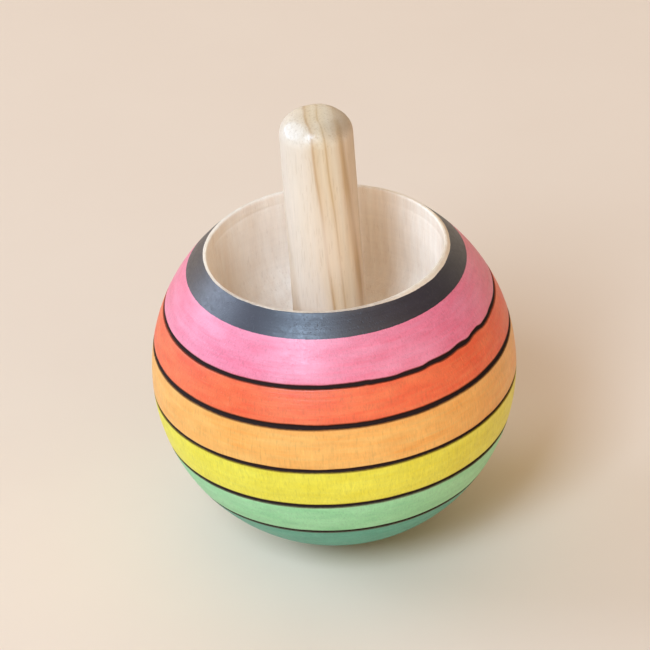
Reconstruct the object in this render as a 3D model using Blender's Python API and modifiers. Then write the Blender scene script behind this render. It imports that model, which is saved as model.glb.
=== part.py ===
"""Turned wooden tippe top: a hollowed ball that carries a glued-in dowel stem.

The ball is cut open at the top and hollowed into a cup. The dowel stands in a blind bore in the
middle of the cup's floor. Set spinning by its stem, the top turns over and ends up spinning on
the stem's end.

Frame: metres, +Z up along the stem, origin at the centre of the small flat that the ball stands
on. Dimensions and profiles are in millimetres and are scaled when the outline mesh is made.
A profile is a list of (radius, height) points that starts and ends on the axis.
"""

import math

import bpy

MM = 0.001

# ---- ball ----
BALL_R = 20.0
FOOT_R = 1.3                # small flat at the bottom pole
RIM_ABOVE_CENTRE = 15.0     # the ball is cut open this far above its centre
LIP_HEIGHT = 0.16           # eased edges of the rim, inside and outside
LIP_INSIDE_WIDTH = 0.6 * LIP_HEIGHT
LIP_OUTSIDE_WIDTH = 0.9 * LIP_HEIGHT

CUP_R = 12.95               # inside radius at the rim
CUP_WAIST_R = 12.55         # inside radius where the corner's curve meets the wall
CUP_DEPTH = 15.0            # rim plane to cup floor
CUP_CORNER_R = 7.5          # hollow curve between wall and floor

# Burnt lines: V-grooves round the outside, in degrees of latitude from the ball's equator
LINE_LATITUDES = (25.3, 12.5, -2.9, -17.7, -33.3)
LINE_WIDTH = 0.50
LINE_DEPTH = 0.22

# ---- dowel and its bore ----
DOWEL_R = 4.0
DOWEL_LENGTH = 40.0
DOWEL_IN_BORE = 8.2         # length glued into the ball
DOWEL_CROWN_R = 2.3         # rounding of the end that is held
DOWEL_TIP_FLAT_R = 1.2      # flat in the middle of the rounded end
DOWEL_TIP_RISE = 0.10       # height of that flat above the top of the rounding
DOWEL_FOOT_CHAMFER = 0.6
GLUE_GAP = 0.10             # glue line round the dowel, on the radius
BORE_BOTTOM_GAP = 0.35      # room for the glue under the dowel

# ---- facets ----
SEGMENTS = 64               # round the axis, shared by both pieces so that the glue gap is even
MERIDIAN_STEP_DEG = 6.0     # aimed-at facet size along the ball's meridian
FILLET_STEPS = 6
MERGE_DISTANCE = 1e-6       # metres, closes the seam and the poles
SHARP_ANGLE_DEG = 35        # edges that turn more than this are shaded sharp

# ---- heights ----
CENTRE_Z = math.sqrt(BALL_R**2 - FOOT_R**2)
RIM_Z = CENTRE_Z + RIM_ABOVE_CENTRE
FLOOR_Z = RIM_Z - CUP_DEPTH
DOWEL_FOOT_Z = FLOOR_Z - DOWEL_IN_BORE
DOWEL_TIP_Z = DOWEL_FOOT_Z + DOWEL_LENGTH

BALL_CENTRE = (0.0, CENTRE_Z)


def clear_scene():
    for obj in list(bpy.data.objects):
        bpy.data.objects.remove(obj)


# ---- profiles ----
def arc_point(centre, radius, angle_deg):
    angle = math.radians(angle_deg)
    return centre[0] + radius * math.cos(angle), centre[1] + radius * math.sin(angle)


def arc(centre, radius, start_deg, end_deg, steps):
    """Points along an arc in the profile plane, both ends included."""
    sweep = end_deg - start_deg
    return [arc_point(centre, radius, start_deg + sweep * i / steps) for i in range(steps + 1)]


def meridian(top_deg, low_deg):
    """Points down the ball's surface between two latitudes."""
    steps = max(1, round((top_deg - low_deg) / MERIDIAN_STEP_DEG))
    return arc(BALL_CENTRE, BALL_R, top_deg, low_deg, steps)


def ball_outside():
    """The ball's surface from just under the rim down to the foot's edge, with its grooves."""
    rim_latitude = math.degrees(math.asin((RIM_ABOVE_CENTRE - LIP_HEIGHT) / BALL_R))
    foot_latitude = -math.degrees(math.acos(FOOT_R / BALL_R))
    half_line = math.degrees(LINE_WIDTH / 2 / BALL_R)
    points = []
    start = rim_latitude
    for latitude in LINE_LATITUDES:
        points += meridian(start, latitude + half_line)
        points.append(arc_point(BALL_CENTRE, BALL_R - LINE_DEPTH, latitude))
        start = latitude - half_line
    return points + meridian(start, foot_latitude)


def ball_profile():
    """From the bore's bottom up through the cup, over the rim and down the outside to the foot."""
    bore_r = DOWEL_R + GLUE_GAP
    bore_bottom = DOWEL_FOOT_Z - BORE_BOTTOM_GAP
    bore = [(0.0, bore_bottom), (bore_r, bore_bottom), (bore_r, FLOOR_Z)]

    waist_z = FLOOR_Z + CUP_CORNER_R
    corner = arc((CUP_WAIST_R - CUP_CORNER_R, waist_z), CUP_CORNER_R, -90, 0, FILLET_STEPS)

    wall_top = RIM_Z - LIP_HEIGHT
    wall = [((CUP_WAIST_R + CUP_R) / 2, (waist_z + wall_top) / 2), (CUP_R, wall_top)]

    outside = ball_outside()
    rim_edge_r = outside[0][0]
    rim = [(CUP_R + LIP_INSIDE_WIDTH, RIM_Z), (rim_edge_r - LIP_OUTSIDE_WIDTH, RIM_Z)]
    return bore + corner + wall + rim + outside + [(0.0, 0.0)]


def dowel_profile():
    """From the tip down the side to the foot."""
    tip = [(0.0, DOWEL_TIP_Z), (DOWEL_TIP_FLAT_R, DOWEL_TIP_Z)]
    crown_centre = (DOWEL_R - DOWEL_CROWN_R, DOWEL_TIP_Z - DOWEL_TIP_RISE - DOWEL_CROWN_R)
    crown = arc(crown_centre, DOWEL_CROWN_R, 90, 0, FILLET_STEPS)
    side = [
        (DOWEL_R, DOWEL_FOOT_Z + DOWEL_LENGTH / 2),
        (DOWEL_R, DOWEL_FOOT_Z + DOWEL_FOOT_CHAMFER),
    ]
    foot = [(DOWEL_R - DOWEL_FOOT_CHAMFER, DOWEL_FOOT_Z), (0.0, DOWEL_FOOT_Z)]
    return tip + crown + side + foot


# ---- materials ----
def material(name, colour, roughness):
    made = bpy.data.materials.new(name)
    made.use_nodes = True
    shader = made.node_tree.nodes["Principled BSDF"]
    shader.inputs["Base Color"].default_value = (*colour, 1.0)
    shader.inputs["Roughness"].default_value = roughness
    shader.inputs["Metallic"].default_value = 0.0
    return made


def painted_maple():
    return material("painted_maple", colour=(0.93, 0.36, 0.20), roughness=0.38)


def bare_dowel():
    return material("bare_dowel", colour=(0.80, 0.64, 0.45), roughness=0.60)


# ---- pieces ----
def turned(name, profile, finish, collection):
    """A solid of revolution about Z. The Screw modifier is applied so that the sharp edges can
    be marked on the finished mesh."""
    outline = bpy.data.meshes.new(name + "_outline")
    vertices = [(radius * MM, 0.0, z * MM) for radius, z in profile]
    edges = [(i, i + 1) for i in range(len(vertices) - 1)]
    outline.from_pydata(vertices, edges, [])

    obj = bpy.data.objects.new(name, outline)
    collection.objects.link(obj)
    screw = obj.modifiers.new("turn", "SCREW")
    screw.axis = "Z"
    screw.angle = math.radians(360)
    screw.steps = SEGMENTS
    screw.render_steps = SEGMENTS
    screw.use_merge_vertices = True
    screw.merge_threshold = MERGE_DISTANCE
    screw.use_normal_calculate = True

    bpy.context.view_layer.update()
    evaluated = obj.evaluated_get(bpy.context.evaluated_depsgraph_get())
    solid = bpy.data.meshes.new_from_object(evaluated)
    obj.modifiers.clear()
    obj.data = solid
    bpy.data.meshes.remove(outline)

    solid.name = name
    solid.materials.append(finish)
    solid.shade_smooth()
    solid.set_sharp_from_angle(angle=math.radians(SHARP_ANGLE_DEG))
    return obj


def main():
    clear_scene()
    parts = bpy.data.collections.new("tippe_top")
    bpy.context.scene.collection.children.link(parts)

    ball = turned("ball", ball_profile(), painted_maple(), parts)
    stem = turned("stem", dowel_profile(), bare_dowel(), parts)

    # The pieces are glued, so one empty moves both.
    top = bpy.data.objects.new("top", None)
    top.empty_display_size = 0.01
    parts.objects.link(top)
    for piece in (ball, stem):
        piece.parent = top


main()
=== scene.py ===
"""Looks for a turned wooden tippe top: a lacquered ball with burnt lines and an open cup, and a bare
dowel stem.

The top rests on its small flat foot at the origin, with its axis and stem along +Z. The camera looks
from the front (-Y), with +X to the right. Shapes and object-space textures are in millimetres.
"""
import math
from collections import namedtuple
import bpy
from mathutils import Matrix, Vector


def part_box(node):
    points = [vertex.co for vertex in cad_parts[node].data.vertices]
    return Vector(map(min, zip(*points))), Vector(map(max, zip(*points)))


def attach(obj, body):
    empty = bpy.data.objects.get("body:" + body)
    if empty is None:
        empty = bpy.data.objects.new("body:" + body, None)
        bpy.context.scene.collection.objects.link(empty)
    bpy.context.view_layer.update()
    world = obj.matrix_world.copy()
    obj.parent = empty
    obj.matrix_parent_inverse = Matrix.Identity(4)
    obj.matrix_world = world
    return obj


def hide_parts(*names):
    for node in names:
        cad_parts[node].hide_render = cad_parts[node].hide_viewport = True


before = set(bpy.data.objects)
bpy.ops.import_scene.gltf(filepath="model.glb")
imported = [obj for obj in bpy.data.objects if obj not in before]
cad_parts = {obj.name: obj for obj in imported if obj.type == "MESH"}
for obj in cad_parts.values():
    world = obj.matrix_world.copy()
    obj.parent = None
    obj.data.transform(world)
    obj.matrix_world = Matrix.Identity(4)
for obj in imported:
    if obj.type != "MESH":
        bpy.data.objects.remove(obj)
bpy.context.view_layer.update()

from types import SimpleNamespace

import bpy
import numpy as np
from mathutils import Matrix, Vector, noise

scene = bpy.context.scene
MM = 0.001

# ---- driving sizes (mm) ----------------------------------------------------------------------------
_, ball_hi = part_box("ball")
stem_lo, stem_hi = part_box("stem")
BALL_R = 20.0
FOOT_R = 1.3
CENTRE_Z = math.sqrt(BALL_R**2 - FOOT_R**2)
RIM_Z = ball_hi.z / MM
CUP_DEPTH = 15.0
FLOOR_Z = RIM_Z - CUP_DEPTH
TIP_Z = stem_hi.z / MM
STEM_FOOT_Z = stem_lo.z / MM
STEM_R = stem_hi.x / MM
BORE_R = STEM_R + 0.1
MM_PER_DEG = math.radians(1) * BALL_R

# latitudes of the burnt lines, and how far past its groove each one scorches the surface
LINES = (25.3, 12.5, -2.9, -17.7, -33.3)
SCORCH = (1.10, 1.45, 1.17, 1.36, 1.30)


# ---- small maths -----------------------------------------------------------------------------------
def noise_at(x, y, z):
    """Blender's noise at each point; numbers are spread along the arrays."""
    return np.array([noise.noise(Vector(point)) for point in np.broadcast(x, y, z)])


def smoothstep(x, lo, hi):
    t = np.clip((x - lo) / (hi - lo), 0, 1)
    return t * t * (3 - 2 * t)


def rise_and_fall(x, rise, fall):
    return smoothstep(x, *rise) * (1 - smoothstep(x, *fall))


def arc(centre_r, centre_z, radius, start, end, count):
    """Points (radius, z) on an arc between two angles in degrees."""
    angle = np.radians(np.linspace(start, end, count))
    return np.stack([centre_r + radius * np.cos(angle), centre_z + radius * np.sin(angle)], 1)


def angles_round(count):
    return np.linspace(0, 2 * math.pi, count, endpoint=False)


def link_object(name, data):
    obj = bpy.data.objects.new(name, data)
    scene.collection.objects.link(obj)
    return obj


def closed_surface(name, x, y, z, attributes):
    """Smooth closed surface from grids of points in mm, one row for each ring. The first and last
    rows are single points. attributes: name to a grid of values."""
    rows, cols = x.shape
    points = np.stack([x, y, z], -1)
    verts = np.concatenate([points[:1, 0], points[1:-1].reshape(-1, 3), points[-1:, 0]]) * MM
    rings = rows - 2
    i = np.arange(rings - 1)[:, None] * cols + 1
    j = np.arange(cols)
    k = (j + 1) % cols
    quads = np.stack([i + j, i + cols + j, i + cols + k, i + k], -1).reshape(-1, 4)
    first_cap = np.stack([np.zeros(cols, int), 1 + j, 1 + k], 1)
    low = 1 + (rings - 1) * cols
    last_cap = np.stack([np.full(cols, len(verts) - 1), low + k, low + j], 1)
    mesh = bpy.data.meshes.new(name)
    mesh.from_pydata(verts.tolist(), [], quads.tolist() + first_cap.tolist() + last_cap.tolist())
    mesh.validate()
    for key, value in attributes.items():
        flat = np.concatenate([value[:1, 0], value[1:-1].reshape(-1), value[-1:, 0]])
        made = mesh.attributes.new(key, "FLOAT", "POINT")
        made.data.foreach_set("value", flat.astype(np.float32))
    mesh.shade_smooth()
    return link_object(name, mesh)


# ---- the turned ball -------------------------------------------------------------------------------
BALL_COLS = 384
theta = angles_round(BALL_COLS)
# degrees round the axis: 0 at the front (-Y), positive to the right (+X)
longitude = np.degrees((theta + math.pi / 2 + math.pi) % (2 * math.pi) - math.pi)

CUP_FLAT_R = 5.05           # flat part of the cup's floor
CUP_FILLET_R = 7.5          # curve from the floor up to the wall
WALL_FOOT_R = CUP_FLAT_R + CUP_FILLET_R
WALL_TOP = RIM_Z - 0.34
STEP_R = 12.885             # wall radius above the small step between two tool passes
STEP_TOP = WALL_TOP - 1.10

# the lip: latitude mark of its rows, then radius and height from the rim
LIP = (
    (90.0, ((12.915, -0.22), (12.93, -0.14), (12.96, -0.07), (13.00, -0.025), (13.05, -0.004))),
    (48.6, ((13.09, 0), (13.12, 0), (13.15, 0), (13.18, 0), (13.21, 0))),
    (48.3, ((13.24, -0.004), (13.27, -0.014), (13.30, -0.028), (13.33, -0.049), (13.36, -0.076),
            (13.385, -0.102), (13.41, -0.132), (13.435, -0.165))),
)
# a burnt groove: mm from its middle, share of its depth
GROOVE = (
    (0.46, 0.0), (0.33, -0.03), (0.27, 0.10), (0.225, 0.38), (0.17, 0.74), (0.09, 0.96), (0.0, 1.0),
    (-0.09, 0.96), (-0.17, 0.74), (-0.225, 0.38), (-0.27, 0.10), (-0.33, -0.03), (-0.46, 0.0),
)
GROOVE_DEPTH = 0.20
GROOVE_CLEAR = 0.70 / MM_PER_DEG    # degrees either side of a line that hold only groove rows
LAT_STEP = 1.25                     # degrees between plain rows

# One ring of the ball. lat is only a mark for rows off the sphere (90 in the bore and cup). A groove
# row has the number of its line, mm from the line's middle and share of the depth.
Row = namedtuple("Row", "radius z lat line across depth", defaults=(90.0, None, 0.0, 0.0))


def bore_and_cup_rows():
    bottom = STEM_FOOT_Z - 0.35
    rows = [
        Row(0.0, bottom), Row(BORE_R * 0.55, bottom), Row(BORE_R - 0.05, bottom),
        Row(BORE_R, bottom + 0.05), Row(BORE_R, bottom + 3.0), Row(BORE_R, FLOOR_Z - 0.3),
        Row(BORE_R + 0.04, FLOOR_Z - 0.12), Row(BORE_R + 0.16, FLOOR_Z - 0.01),
    ]
    rows += [Row(r, FLOOR_Z) for r in np.linspace(BORE_R + 0.4, CUP_FLAT_R, 3)]
    wall_foot = FLOOR_Z + CUP_FILLET_R
    rows += [Row(r, z) for r, z in arc(CUP_FLAT_R, wall_foot, CUP_FILLET_R,
                                       start=-88, end=-2, count=26)]
    wall_height = WALL_TOP - 1.35 - wall_foot
    rows += [Row(WALL_FOOT_R + 0.29 * t, wall_foot + wall_height * t)
             for t in np.linspace(0.0, 1.0, 12)]
    rows += [Row(12.852, WALL_TOP - 1.24), Row(STEP_R, STEP_TOP)]
    rows += [Row(STEP_R + 0.02 * t, STEP_TOP + 1.10 * t) for t in np.linspace(0.15, 1.0, 5)]
    return rows


def outside_rows():
    """The sphere from the lip down to the foot, with a groove between each two bands."""
    top_lat = math.degrees(math.asin((RIM_Z - 0.22 - CENTRE_Z) / BALL_R))
    foot_lat = -math.degrees(math.acos(FOOT_R / BALL_R))
    limits = (top_lat, *LINES, foot_lat)
    rows = []
    for i, (upper, lower) in enumerate(zip(limits, limits[1:])):
        hi_lat = upper - (GROOVE_CLEAR if i else 0)
        lo_lat = lower + (GROOVE_CLEAR if i < len(LINES) else 0)
        steps = max(2, round((hi_lat - lo_lat) / LAT_STEP))
        for step in range(steps + 1):
            lat = hi_lat + (lo_lat - hi_lat) * step / steps
            angle = math.radians(lat)
            rows.append(Row(BALL_R * math.cos(angle), CENTRE_Z + BALL_R * math.sin(angle), lat))
        if i < len(LINES):
            rows += [Row(0, 0, lower, i, across, depth) for across, depth in GROOVE]
    return rows + [Row(FOOT_R * 0.5, 0.0, -89.0), Row(0.0, 0.0, -90.0)]


def ring_noise(waves, seed):
    """Smooth noise round the ball, the same at 0 and 360 degrees, about -1 to 1."""
    radius = waves / (2 * math.pi)
    return noise_at(np.cos(theta) * radius, np.sin(theta) * radius, seed * 7.31) * 1.6


def groove_course(k):
    """How line k wanders (mm), swells (factor) and deepens (mm) round the ball."""
    slow = 0.030 * ring_noise(waves=5, seed=3 + k)
    fine = 0.022 * ring_noise(waves=46, seed=13 + k)
    width = (1 + 0.10 * ring_noise(waves=24, seed=23 + k)
             + 0.06 * ring_noise(waves=80, seed=43 + k))
    if k == 0:      # the top line was burnt less steadily on the front right
        ragged = rise_and_fall(longitude, rise=(2, 22), fall=(62, 82))
        jump = np.clip(ring_noise(waves=44, seed=31) * 3.2, -1, 1)
        fine = fine * (1 + ragged) + 0.095 * ragged * jump
        width = width + 0.22 * ragged * ring_noise(waves=70, seed=35) + 0.05 * ragged
    depth = GROOVE_DEPTH * (1 + 0.18 * ring_noise(waves=12, seed=53 + k))
    return slow + fine, np.clip(width, 0.75, 1.3), depth


def build_ball():
    rows = bore_and_cup_rows()
    rows += [Row(r, RIM_Z + dz, lat) for lat, points in LIP for r, dz in points]
    rows += outside_rows()
    radius = np.zeros((len(rows), BALL_COLS))
    height = np.zeros_like(radius)
    lat = np.zeros_like(radius)
    paint = np.full_like(radius, -1.0)      # mm past the paint's edge on the lip
    line_off = np.ones_like(radius)         # distance from the nearest burnt line's middle

    courses = [groove_course(k) for k in range(len(LINES))]
    # the rim was sanded after painting, more on the right
    lip_edge = (13.31 + 0.28 * rise_and_fall(longitude, rise=(-5, 60), fall=(110, 165))
                + 0.035 * ring_noise(waves=9, seed=71) + 0.022 * ring_noise(waves=60, seed=72))
    for i, row in enumerate(rows):
        if row.line is not None:
            # the width varies inside the groove; its shoulders fade into the even surface beside it
            shift, swell, depth = courses[row.line]
            own = 1 - smoothstep(abs(row.across), 0.28, 0.46)
            wide = 1 + (swell - 1) * own
            lat[i] = row.lat + (shift * (0.35 + 0.65 * own) + row.across * wide) / MM_PER_DEG
            angle = np.radians(lat[i])
            ball_r = BALL_R - depth * row.depth
            radius[i] = ball_r * np.cos(angle)
            height[i] = CENTRE_Z + ball_r * np.sin(angle)
            line_off[i] = abs(row.across) / SCORCH[row.line]
            paint[i] = 1.0
            continue
        radius[i], height[i], lat[i] = row.radius, row.z, row.lat
        if row.lat < 45.0:
            paint[i] = 1.0
        elif row.lat < 50.0:
            paint[i] = np.clip(row.radius - lip_edge, -1.0, 1.0)
        if row.lat < 48.0:
            line_off[i] = max(0.5, min(abs(row.lat - line) for line in LINES) * MM_PER_DEG)

    # a few hundredths of a millimetre of tool marks inside the cup
    inside = (lat > 60) & (height > FLOOR_Z - 0.005) & (radius < 12.9) & (radius > 4.6)
    marks = noise_at(height[:, 0] * 2.4, 5.5, radius[:, 0] * 0.8)[:, None]
    radius = radius + np.where(inside, 0.03 * marks, 0.0)

    # thin paint rubbed over the bare lip on the front and left
    smeared = rise_and_fall(longitude, rise=(-85, -50), fall=(18, 42))
    smear = np.where((lat > 48.0) & (lat < 49.5), smeared, 0.0)
    return closed_surface(
        "turned_ball", radius * np.cos(theta), radius * np.sin(theta), height,
        {"lat": lat, "paint": paint, "line_off": line_off, "smear": smear},
    )


# ---- the stem --------------------------------------------------------------------------------------
STEM_COLS = 160
CROWN_R = 2.35              # rounding of the free end
STEM_CHAMFER = 0.6
# the side of the end rubbed almost flat (front left, above), measured from a point on the axis
RUB_TOWARD = (-0.50, -0.42, 0.757)
RUB_FROM_Z = TIP_Z - 2.3
RUB_DISTANCE = 3.06


def stem_profile():
    """Radius and z, from the tip down to the foot in the bore."""
    points = [(0.0, TIP_Z), (0.3, TIP_Z - 0.001), (0.65, TIP_Z - 0.006), (1.0, TIP_Z - 0.018)]
    points += list(arc(STEM_R - CROWN_R, TIP_Z - 0.085 - CROWN_R, CROWN_R,
                       start=82, end=0, count=22))
    shoulder = points[-1][1]
    chamfer_z = STEM_FOOT_Z + STEM_CHAMFER
    points += [(STEM_R, shoulder + (chamfer_z - shoulder) * t) for t in np.linspace(0, 1, 84)[1:]]
    points += [(STEM_R - STEM_CHAMFER * t, chamfer_z - STEM_CHAMFER * t) for t in (0.35, 0.7, 1.0)]
    return np.array(points + [(STEM_R * 0.4, STEM_FOOT_Z), (0.0, STEM_FOOT_Z)])


def build_stem():
    profile = stem_profile()
    radius = np.repeat(profile[:, :1], STEM_COLS, 1)
    height = np.repeat(profile[:, 1:], STEM_COLS, 1)
    angle = angles_round(STEM_COLS)
    x, y = np.cos(angle), np.sin(angle)
    # hand sanding leaves the end a little uneven; open grain leaves shallow furrows along the stem
    for i, (r, z) in enumerate(profile):
        if r < 0.05:
            continue
        free = smoothstep(z, FLOOR_Z - 1.0, FLOOR_Z + 1.0)
        crown = smoothstep(z, TIP_Z - 2.6, TIP_Z - 0.6)
        furrow = noise_at(x * 6.2, y * 6.2, (z - 40) * 0.055)
        flat = noise_at(x * 1.1 + 3, y * 1.1, z * 0.10)
        facet = noise_at(x * 1.7, y * 1.7 + 9, z * 0.5)
        out = (free * (-0.018 * np.clip(furrow * 2, 0, 1) + 0.020 * flat)
               - crown * free * 0.10 * (facet + 0.35))
        radius[i] = np.minimum(r + out * min(1.0, r / 1.5), STEM_R + 0.02)
    x, y = radius * x, radius * y
    rub = np.array(RUB_TOWARD)
    rub /= np.linalg.norm(rub)
    over = x * rub[0] + y * rub[1] + (height - RUB_FROM_Z) * rub[2] - RUB_DISTANCE
    push = 0.62 * np.clip(over, 0, None) * smoothstep(over, 0.0, 0.12)
    return closed_surface("dowel_stem", x - push * rub[0], y - push * rub[1],
                          height - push * rub[2], {})


# ---- node helpers ----------------------------------------------------------------------------------
class Nodes:
    """Short ways to add shader nodes to one tree. Values may be numbers or output sockets."""

    def __init__(self, tree):
        self.tree = tree
        tree.nodes.clear()

    def node(self, kind, inputs, **props):
        """inputs: name or index of a socket to its value."""
        count = len(self.tree.nodes)
        node = self.tree.nodes.new(kind)
        node.location = (220 * (count % 12), -240 * (count // 12))
        for key, value in props.items():
            setattr(node, key, value)
        for key, value in inputs.items():
            if isinstance(value, bpy.types.NodeSocket):
                self.tree.links.new(value, node.inputs[key])
            else:
                node.inputs[key].default_value = value
        return node

    def out(self, kind, inputs, output=0, **props):
        return self.node(kind, inputs, **props).outputs[output]

    def math(self, operation, a, b=0.0, clamp=False):
        return self.out("ShaderNodeMath", {0: a, 1: b, 2: 0.0}, operation=operation,
                        use_clamp=clamp)

    def plus(self, a, b, clamp=False):
        return self.math("ADD", a, b, clamp)

    def minus(self, a, b):
        return self.math("SUBTRACT", a, b)

    def times(self, a, b):
        return self.math("MULTIPLY", a, b)

    def stretch(self, vector, factors):
        return self.out("ShaderNodeVectorMath", {0: vector, 1: factors}, operation="MULTIPLY")

    def attribute(self, name):
        return self.out("ShaderNodeAttribute", {}, output="Fac", attribute_name=name)

    def object_coords(self):
        return self.out("ShaderNodeTexCoord", {}, output="Object")

    def position_mm(self):
        return self.stretch(self.object_coords(), (1000, 1000, 1000))

    def xyz(self, vector):
        return self.node("ShaderNodeSeparateXYZ", {0: vector}).outputs

    def noise(self, vector, detail, rough, scale=1.0, stretch=None):
        if stretch:
            vector = self.stretch(vector, stretch)
        inputs = {"Vector": vector, "Scale": scale, "Detail": detail, "Roughness": rough}
        return self.out("ShaderNodeTexNoise", inputs)

    def ramp(self, fac, stops, interpolation="LINEAR"):
        node = self.node("ShaderNodeValToRGB", {"Fac": fac})
        ramp = node.color_ramp
        ramp.interpolation = interpolation
        while len(ramp.elements) < len(stops):
            ramp.elements.new(0.5)
        for element, (position, _) in zip(ramp.elements, stops):
            element.position = position
        for element, (_, colour) in zip(ramp.elements, stops):
            element.color = colour
        return node.outputs["Color"]

    def remap(self, value, span, to=(0.0, 1.0), smooth=False):
        """Carries the range span to the range to, held at its ends."""
        return self.out("ShaderNodeMapRange", dict(enumerate((value, *span, *to))), clamp=True,
                        interpolation_type="SMOOTHSTEP" if smooth else "LINEAR")

    def mix(self, a, b, by, blend="MIX"):
        return self.out("ShaderNodeMix", {0: by, 6: a, 7: b}, output=2, data_type="RGBA",
                        blend_type=blend)

    def tint(self, colour, filter_colour):
        return self.mix(colour, filter_colour, by=1.0, blend="MULTIPLY")

    def scale(self, colour, factor):
        """colour times a grey factor that may go above 1."""
        return self.out("ShaderNodeVectorMath", {0: colour, "Scale": factor}, operation="SCALE")

    def principled(self, colour, rough, height, bump, ior, specular, **more):
        """bump: depth in metres of a height of 1. more: other inputs, by name."""
        normal = self.out("ShaderNodeBump", {"Strength": 1.0, "Distance": bump, "Height": height})
        return self.out("ShaderNodeBsdfPrincipled", {
            "Base Color": colour, "Roughness": rough, "IOR": ior,
            "Specular IOR Level": specular, "Normal": normal, **more,
        })


def new_material(name):
    material = bpy.data.materials.new(name)
    material.use_nodes = True
    return material, Nodes(material.node_tree)


def srgb(*channels):
    """8-bit display colour to the linear RGBA a shader takes."""
    def linear(c):
        c /= 255
        return c / 12.92 if c <= 0.04045 else ((c + 0.055) / 1.055) ** 2.4
    return (*map(linear, channels), 1.0)


# ---- lacquered ball --------------------------------------------------------------------------------
LAT_LOW, LAT_RANGE = -90.0, 150.0       # latitudes covered by the colour bands
BLACK_FROM = 39.8
# lacquer of each band where thin and where thick, from the foot up
BAND_COLOURS = (
    ((90, 170, 143), (64, 147, 120)),   # green
    ((158, 217, 163), (131, 199, 142)),  # light green
    ((231, 221, 64), (221, 206, 28)),   # yellow
    ((237, 178, 91), (229, 153, 61)),   # amber
    ((234, 111, 59), (225, 76, 28)),    # orange
    ((231, 134, 158), (222, 103, 129)),  # pink
    ((33, 30, 45), (23, 21, 35)),       # black
)


def band_ramp(g, place, which):
    """The bands in their thin (which=0) or thick (which=1) colours."""
    starts = (LAT_LOW, *reversed(LINES), BLACK_FROM)
    stops = [((start - LAT_LOW) / LAT_RANGE, srgb(*colours[which]))
             for start, colours in zip(starts, BAND_COLOURS)]
    return g.ramp(place, stops, "CONSTANT")


def ball_grain(g, p):
    """Textures shared by the wood and the lacquer over it."""
    x, y, z = g.xyz(p)
    fleck = g.noise(p, stretch=(5.5, 5.5, 0.9), detail=1, rough=0.4)
    # marks left round the ball by the lathe
    around = g.out("ShaderNodeCombineXYZ",
                   {0: g.times(z, 3.0), 1: g.times(x, 0.07), 2: g.times(y, 0.07)})
    return SimpleNamespace(
        x=x, y=y, fleck=fleck,
        lat=g.attribute("lat"),
        fibre=g.noise(p, stretch=(3.4, 3.4, 0.42), detail=3, rough=0.55),
        pores=g.remap(fleck, span=(0.63, 0.74), smooth=True),
        turning=g.noise(around, detail=3, rough=0.65),
        mottle=g.noise(p, stretch=(0.75, 0.75, 0.40), detail=3, rough=0.6),
        # the finest fibres
        hair=g.noise(p, stretch=(9.0, 9.0, 1.3), detail=2, rough=0.6),
    )


def ball_wood(g, p, grain):
    """Bare wood: growth rings round a far-off pith, fine fibres along the axis."""
    warp = g.noise(p, scale=0.11, detail=2, rough=0.5)
    dx = g.plus(grain.x, 44.0)
    dy = g.plus(grain.y, -37.0)
    from_pith = g.math("SQRT", g.plus(g.times(dx, dx), g.times(dy, dy)))
    ring = g.math("FRACT", g.plus(g.times(from_pith, 0.42), g.times(warp, 1.5)))
    late = g.times(g.remap(ring, span=(0.55, 0.93), smooth=True),
                   g.remap(ring, span=(0.95, 1.0), to=(1.0, 0.0), smooth=True))
    streak = g.noise(p, stretch=(1.15, 1.15, 0.05), detail=2, rough=0.5)
    wood = g.mix(srgb(249, 234, 216), srgb(244, 225, 204), by=g.remap(streak, span=(0.30, 0.70)))
    wood = g.mix(wood, srgb(220, 194, 166), by=g.times(late, 0.13))
    wood = g.mix(wood, srgb(232, 210, 188),
                 by=g.remap(grain.mottle, span=(0.48, 0.72), to=(0.0, 0.22)))
    wood = g.scale(wood, g.remap(grain.fibre, span=(0.25, 0.75), to=(0.955, 1.025)))
    wood = g.scale(wood, g.remap(grain.turning, span=(0.3, 0.7), to=(0.978, 1.014)))
    wood = g.mix(wood, srgb(196, 164, 134), by=g.times(grain.pores, 0.16))
    # painted light: the wood is tinted paler and cooler on the left (-X), where the windows light it
    wood = g.tint(wood, g.mix((1.025, 1.07, 1.13, 1), (1.0, 1.0, 1.0, 1),
                              by=g.remap(grain.x, span=(-10.0, 3.0))))
    # painted shade: the upward-facing lip is tinted a little darker than the wall so it reads less
    # lit; the amount follows the wood's streaks
    lip_shade = g.remap(grain.lat, span=(48.8, 60.0), to=(1.0, 0.0))
    wood = g.mix(wood, g.tint(wood, (0.86, 0.83, 0.78, 1)),
                 by=g.times(lip_shade, g.remap(streak, span=(0.3, 0.7), to=(0.75, 1.0))))
    patchy = g.remap(g.noise(p, scale=1.3, detail=2, rough=0.6), span=(0.35, 0.65),
                     to=(0.45, 0.95))
    return g.mix(wood, g.tint(wood, (0.60, 0.55, 0.52, 1)),
                 by=g.times(g.attribute("smear"), patchy))


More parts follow.
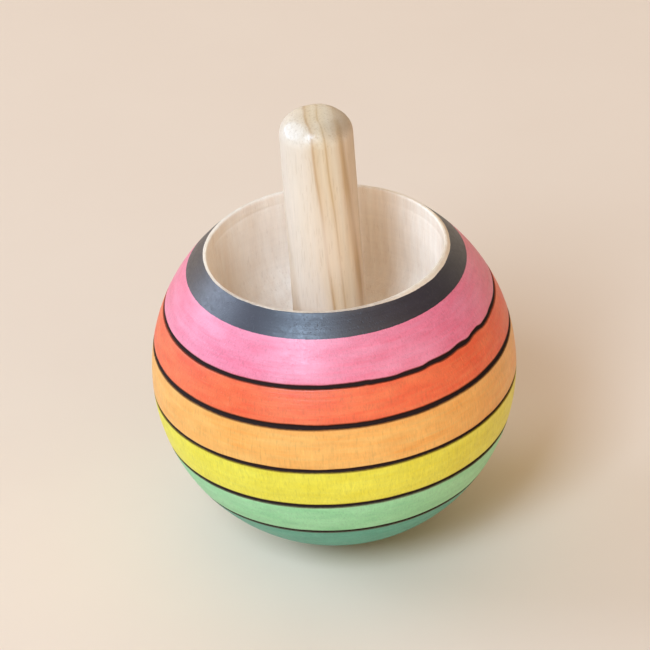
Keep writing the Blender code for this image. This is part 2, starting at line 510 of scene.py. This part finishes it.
def ball_lacquer(g, p, grain):
    """One colour to a band, the edges as ragged as a brush leaves them."""
    ragged = g.noise(p, scale=2.6, detail=2, rough=0.5)
    lat = g.plus(grain.lat, g.times(g.minus(ragged, 0.5), 0.22))
    place = g.math("DIVIDE", g.plus(lat, -LAT_LOW), LAT_RANGE)
    # brushed on while the ball turned, so it is thicker and thinner in streaks that run round it
    blotch = g.noise(p, stretch=(0.22, 0.22, 0.95), detail=3, rough=0.58)
    thickness = g.plus(g.remap(blotch, span=(0.34, 0.66), to=(0.15, 0.85)),
                       g.remap(grain.turning, span=(0.28, 0.72), to=(-0.30, 0.30)), clamp=True)
    bands = g.mix(band_ramp(g, place, 0), band_ramp(g, place, 1), by=thickness)
    tone = g.plus(g.remap(grain.fibre, span=(0.2, 0.8), to=(0.93, 1.06)),
                  g.remap(grain.turning, span=(0.25, 0.75), to=(-0.075, 0.075)))
    tone = g.plus(tone, g.remap(grain.hair, span=(0.3, 0.7), to=(-0.050, 0.050)))
    tone = g.plus(tone, g.remap(grain.mottle, span=(0.34, 0.66), to=(-0.020, 0.020)))
    lacquer = g.scale(bands, tone)
    grain_line = g.remap(grain.fleck, span=(0.30, 0.42), to=(1.0, 0.0), smooth=True)
    lacquer = g.scale(lacquer, g.remap(grain.pores, span=(0.0, 1.0), to=(1.0, 1.06)))
    return g.scale(lacquer, g.remap(grain_line, span=(0.0, 1.0), to=(1.0, 0.90)))


def burn_lines(g, p, lacquer):
    """Lines black in the middle, browner where the heat faded out. Also returns the scorch mask."""
    char = g.noise(p, stretch=(2.4, 2.4, 5.0), detail=2, rough=0.6)
    edge = g.plus(g.attribute("line_off"), g.times(g.minus(char, 0.5), 0.075))
    scorched = g.remap(edge, span=(0.220, 0.310), to=(1.0, 0.0), smooth=True)
    burnt = g.remap(edge, span=(0.135, 0.250), to=(1.0, 0.0), smooth=True)
    halo = g.times(g.remap(edge, span=(0.24, 0.46), to=(1.0, 0.0), smooth=True),
                   g.remap(char, span=(0.35, 0.65), to=(0.05, 0.26)))
    lacquer = g.mix(lacquer, srgb(122, 66, 34), by=halo)
    lacquer = g.mix(lacquer, srgb(92, 42, 26), by=g.times(scorched, 0.66))
    return g.mix(lacquer, srgb(34, 19, 18), by=burnt), scorched


def lacquered_wood():
    material, g = new_material("lacquered_wood")
    p = g.position_mm()
    grain = ball_grain(g, p)
    wood = ball_wood(g, p, grain)
    lacquer, scorched = burn_lines(g, p, ball_lacquer(g, p, grain))

    lip_noise = g.times(g.minus(g.noise(p, scale=3.2, detail=2, rough=0.6), 0.5), 0.05)
    painted = g.remap(g.plus(g.attribute("paint"), lip_noise), span=(-0.012, 0.012), smooth=True)
    brushed = g.noise(p, scale=2.1, detail=2, rough=0.6)
    rough_paint = g.plus(g.remap(brushed, span=(0.32, 0.68), to=(0.41, 0.51)),
                         g.times(scorched, 0.28))
    rough_wood = g.remap(grain.fibre, span=(0.2, 0.8), to=(0.66, 0.56))
    grit = g.noise(p, scale=5.5, detail=2, rough=0.7)
    fine_height = g.plus(g.times(grain.hair, 0.35),
                         g.plus(g.times(grain.pores, -0.45), g.times(grit, 0.36)))
    surface = g.principled(
        colour=g.mix(wood, lacquer, by=painted),
        rough=g.plus(g.times(painted, rough_paint), g.times(g.minus(1.0, painted), rough_wood)),
        height=g.plus(g.times(grain.turning, 0.95), fine_height),
        bump=0.000030,
        ior=1.75,
        # the black band is shinier, the burnt lines duller
        specular=g.minus(g.remap(grain.lat, span=(39.0, 40.5), to=(0.50, 0.60)),
                         g.times(scorched, 0.40)),
        **{"Anisotropic": g.times(painted, 0.25),
           "Anisotropic Rotation": 0.25,
           "Tangent": g.out("ShaderNodeTangent", {}, direction_type="RADIAL", axis="Z")},
    )
    g.node("ShaderNodeOutputMaterial", {0: surface})
    return material


# ---- bare dowel ------------------------------------------------------------------------------------
YEARS_REACH = 6.5
# mm across the growth rings: pale early wood, then a thin tan line, one year after another
YEARS = (
    (-6.5, (232, 214, 194)), (-4.9, (222, 200, 176)), (-4.6, (236, 219, 201)),
    (-2.6, (236, 219, 201)), (-1.55, (230, 209, 183)), (-1.28, (197, 158, 114)),
    (-1.08, (221, 193, 156)), (-0.5, (231, 210, 180)), (-0.16, (226, 202, 168)),
    (0.0, (207, 175, 134)), (0.16, (228, 205, 172)), (0.9, (235, 218, 193)),
    (1.45, (230, 207, 177)), (1.80, (208, 176, 136)), (2.1, (199, 166, 126)),
    (2.4, (226, 203, 175)), (4.1, (232, 212, 186)), (4.5, (214, 184, 148)),
    (4.8, (236, 217, 195)), (6.5, (228, 206, 180)),
)


def year_rings(g, p, x, y, down):
    """Growth rings that cross the dowel almost as planes, slightly off its axis."""
    wander = g.noise(p, stretch=(0.22, 0.22, 0.045), detail=2, rough=0.5)
    across = g.plus(g.minus(g.minus(x, 0.30), g.times(down, 0.045)),
                    g.plus(g.times(y, 0.10), g.times(g.minus(wander, 0.5), 1.3)))
    stops = [((mm + YEARS_REACH) / (2 * YEARS_REACH), srgb(*colour)) for mm, colour in YEARS]
    return g.ramp(g.remap(across, span=(-YEARS_REACH, YEARS_REACH)), stops)


def bare_wood():
    material, g = new_material("bare_wood")
    p = g.position_mm()
    x, y, z = g.xyz(p)
    down = g.minus(TIP_Z, z)
    wood = year_rings(g, p, x, y, down)
    # the rings fade into plain wood in places
    patches = g.noise(p, stretch=(0.45, 0.45, 0.06), detail=2, rough=0.5)
    plain = g.mix(srgb(241, 224, 206), srgb(235, 215, 190), by=g.remap(patches, span=(0.35, 0.65)))
    keep = g.noise(p, stretch=(0.30, 0.30, 0.07), detail=1, rough=0.5)
    wood = g.mix(wood, plain, by=g.remap(keep, span=(0.36, 0.62), to=(0.70, 0.0)))
    fibre = g.noise(p, stretch=(4.6, 4.6, 0.22), detail=3, rough=0.6)
    fleck = g.noise(p, stretch=(8.0, 8.0, 0.55), detail=1, rough=0.4)
    pores = g.remap(fleck, span=(0.62, 0.72), smooth=True)
    wood = g.scale(wood, g.remap(fibre, span=(0.25, 0.75), to=(0.945, 1.035)))
    wood = g.mix(wood, srgb(182, 146, 108), by=g.times(pores, 0.16))
    # the rounded end shows end grain: open vessels as dots, and is burnished; its right side is
    # painted darker, as shade away from the light
    end = g.remap(down, span=(2.3, 0.9), smooth=True)
    dots = g.remap(g.noise(p, scale=4.4, detail=2, rough=0.5), span=(0.56, 0.68), smooth=True)
    wood = g.mix(wood, srgb(176, 140, 102), by=g.times(end, g.times(dots, 0.30)))
    # painted shade: the right side of the end, away from the light, is darkened
    painted_shade_right = g.remap(x, span=(-0.3, 3.2), to=(0.0, 0.50), smooth=True)
    wood = g.mix(wood, srgb(160, 132, 98), by=g.times(end, painted_shade_right))
    # painted light: the stem is tinted lighter towards its foot, offsetting the shade the cup's rim
    # casts there, and darker at its tip
    wood = g.tint(wood, g.mix((0.845, 0.84, 0.815, 1), (0.965, 0.95, 0.925, 1),
                              by=g.remap(down, span=(2.0, 24.0))))
    pits = g.plus(g.times(pores, -0.5), g.times(dots, g.times(end, -0.4)))
    surface = g.principled(
        colour=wood,
        rough=g.minus(g.remap(fibre, span=(0.2, 0.8), to=(0.60, 0.50)), g.times(end, 0.20)),
        height=g.plus(g.times(fibre, 0.7), pits),
        bump=0.000035,
        ior=1.5,
        specular=g.plus(0.5, g.times(end, 0.36)),
    )
    g.node("ShaderNodeOutputMaterial", {0: surface})
    return material


# ---- stage: pale floor, soft windows and a glowing room (metres) -----------------------------------
BACKDROP = (0.77, 0.67, 0.555, 1)
FLOOR_COLS = 96
FLOOR_RADII = (0.15, 0.5, 1.5, 6.0)
BALL_CENTRE = Vector((0, 0, CENTRE_Z * MM))
LAMP_DISTANCE = 0.9
# name, azimuth, elevation (degrees), width, height, watts, colour
# azimuth 0 is the camera's side, positive to the right
LAMPS = (
    ("window_front", -27, 43, 0.32, 0.42, 7.85, (0.517, 0.735, 1.0)),
    ("window_left", -108, 24, 0.50, 0.40, 5.1, (0.607, 0.764, 1.0)),
)
# lobes of light: direction, sharpness, colour
SKY = (
    ((0.0, -1.0, 0.2), 2.0, (1.16, 0.99, 0.69)),
    ((0.0, 1.0, 0.2), 2.0, (1.37, 1.18, 0.90)),
    ((0.0, 0.0, 1.0), 2.0, (0.10, 0.05, 0.02)),
    ((0.75, -0.65, -0.25), 4.0, (1.52, 0.97, 0.73)),
    ((-0.6, 0.8, 0.3), 4.0, (0.33, 0.22, 0.10)),
)


def pale_floor():
    material, g = new_material("pale_floor")
    where = g.object_coords()
    faint = g.noise(where, scale=60.0, detail=3, rough=0.55)
    surface = g.principled(
        colour=g.mix(srgb(229, 207, 186), srgb(232, 211, 190), by=faint),
        rough=0.85, height=faint, bump=0.00002, ior=1.4, specular=0.15,
    )
    # for the camera only, the floor turns into the backdrop far away, so that no horizon shows
    away = g.out("ShaderNodeVectorMath", {0: where}, output="Value", operation="LENGTH")
    camera_ray = g.out("ShaderNodeLightPath", {}, output="Is Camera Ray")
    fade = g.times(g.remap(away, span=(0.13, 0.52), smooth=True), camera_ray)
    glow = g.out("ShaderNodeEmission", {"Color": BACKDROP})
    g.node("ShaderNodeOutputMaterial",
           {0: g.out("ShaderNodeMixShader", {0: fade, 1: surface, 2: glow})})
    return material


def build_floor():
    n = FLOOR_COLS
    verts = [(0.0, 0.0, 0.0)]
    verts += [(r * math.cos(a), r * math.sin(a), 0.0) for r in FLOOR_RADII for a in angles_round(n)]
    faces = [(0, 1 + j, 1 + (j + 1) % n) for j in range(n)]
    for k in range(len(FLOOR_RADII) - 1):
        near, far = 1 + k * n, 1 + (k + 1) * n
        faces += [(near + j, far + j, far + (j + 1) % n, near + (j + 1) % n) for j in range(n)]
    mesh = bpy.data.meshes.new("floor")
    mesh.from_pydata(verts, [], faces)
    mesh.shade_smooth()
    return link_object("floor", mesh)


def toward(azimuth, elevation):
    a, e = math.radians(azimuth), math.radians(elevation)
    return Vector((math.sin(a) * math.cos(e), -math.cos(a) * math.cos(e), math.sin(e)))


def add_lamps():
    """Area lights aimed at the ball's centre."""
    for name, azimuth, elevation, width, height, watts, colour in LAMPS:
        data = bpy.data.lights.new(name, "AREA")
        data.shape = "RECTANGLE"
        data.size, data.size_y = width, height
        data.energy = watts
        data.color = colour
        direction = toward(azimuth, elevation)
        lamp = link_object(name, data)
        lamp.location = BALL_CENTRE + direction * LAMP_DISTANCE
        lamp.rotation_euler = direction.to_track_quat("Z", "Y").to_euler()


def make_world():
    """The room lights the top with its lobes; the camera sees only the plain backdrop."""
    world = bpy.data.worlds.new("studio")
    scene.world = world
    world.use_nodes = True
    g = Nodes(world.node_tree)
    where = g.out("ShaderNodeTexCoord", {}, output="Generated")
    room = None
    for direction, sharpness, colour in SKY:
        facing = g.out("ShaderNodeVectorMath", {0: where, 1: Vector(direction).normalized()},
                       output="Value", operation="DOT_PRODUCT")
        facing = g.out("ShaderNodeMath", {0: facing, 1: 0.0}, operation="MAXIMUM")
        facing = g.out("ShaderNodeMath", {0: facing, 1: sharpness}, operation="POWER")
        lobe = g.scale(colour, facing)
        if room is None:
            room = lobe
        else:
            room = g.out("ShaderNodeVectorMath", {0: room, 1: lobe}, operation="ADD")
    light = g.out("ShaderNodeBackground", {0: room, 1: 1.0})
    seen = g.out("ShaderNodeBackground", {0: BACKDROP, 1: 1.0})
    camera_ray = g.out("ShaderNodeLightPath", {}, output="Is Camera Ray")
    g.node("ShaderNodeOutputWorld",
           {0: g.out("ShaderNodeMixShader", {0: camera_ray, 1: light, 2: seen})})


# ---- camera: in front and above, rolled a little, with a long lens ---------------------------------
CAMERA_ELEVATION = math.radians(32.55)
CAMERA_ROLL = math.radians(4.5)
CAMERA_DISTANCE = 0.686
AIM_UP, AIM_LEFT = 0.0042, 0.0010       # metres from the ball's centre, in the picture


def add_camera():
    data = bpy.data.cameras.new("camera")
    data.sensor_width = 36.0
    data.lens = 346.0
    data.clip_start, data.clip_end = 0.05, 20.0
    camera = link_object("camera", data)
    sin_e, cos_e = math.sin(CAMERA_ELEVATION), math.cos(CAMERA_ELEVATION)
    eye = BALL_CENTRE + Vector((0, -cos_e, sin_e)) * CAMERA_DISTANCE
    level_right, level_up = Vector((1, 0, 0)), Vector((0, sin_e, cos_e))
    up = level_up * math.cos(CAMERA_ROLL) + level_right * math.sin(CAMERA_ROLL)
    right = level_right * math.cos(CAMERA_ROLL) - level_up * math.sin(CAMERA_ROLL)
    aim = BALL_CENTRE + up * AIM_UP - right * AIM_LEFT
    forward = (aim - eye).normalized()
    right = forward.cross(up).normalized()
    up = right.cross(forward).normalized()
    turn = Matrix((right, up, -forward)).transposed().to_4x4()
    camera.matrix_world = Matrix.Translation(eye) @ turn
    scene.camera = camera


# ---- build -----------------------------------------------------------------------------------------
ball = build_ball()
stem = build_stem()
ball.data.materials.append(lacquered_wood())
stem.data.materials.append(bare_wood())
for piece, node, slot in ((ball, "ball", "lacquered_wood"), (stem, "stem", "bare_wood")):
    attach(piece, "root")
    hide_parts(node)

floor = build_floor()
floor.data.materials.append(pale_floor())
add_lamps()
make_world()
scene.view_settings.view_transform = "Standard"
scene.view_settings.look = "None"
add_camera()
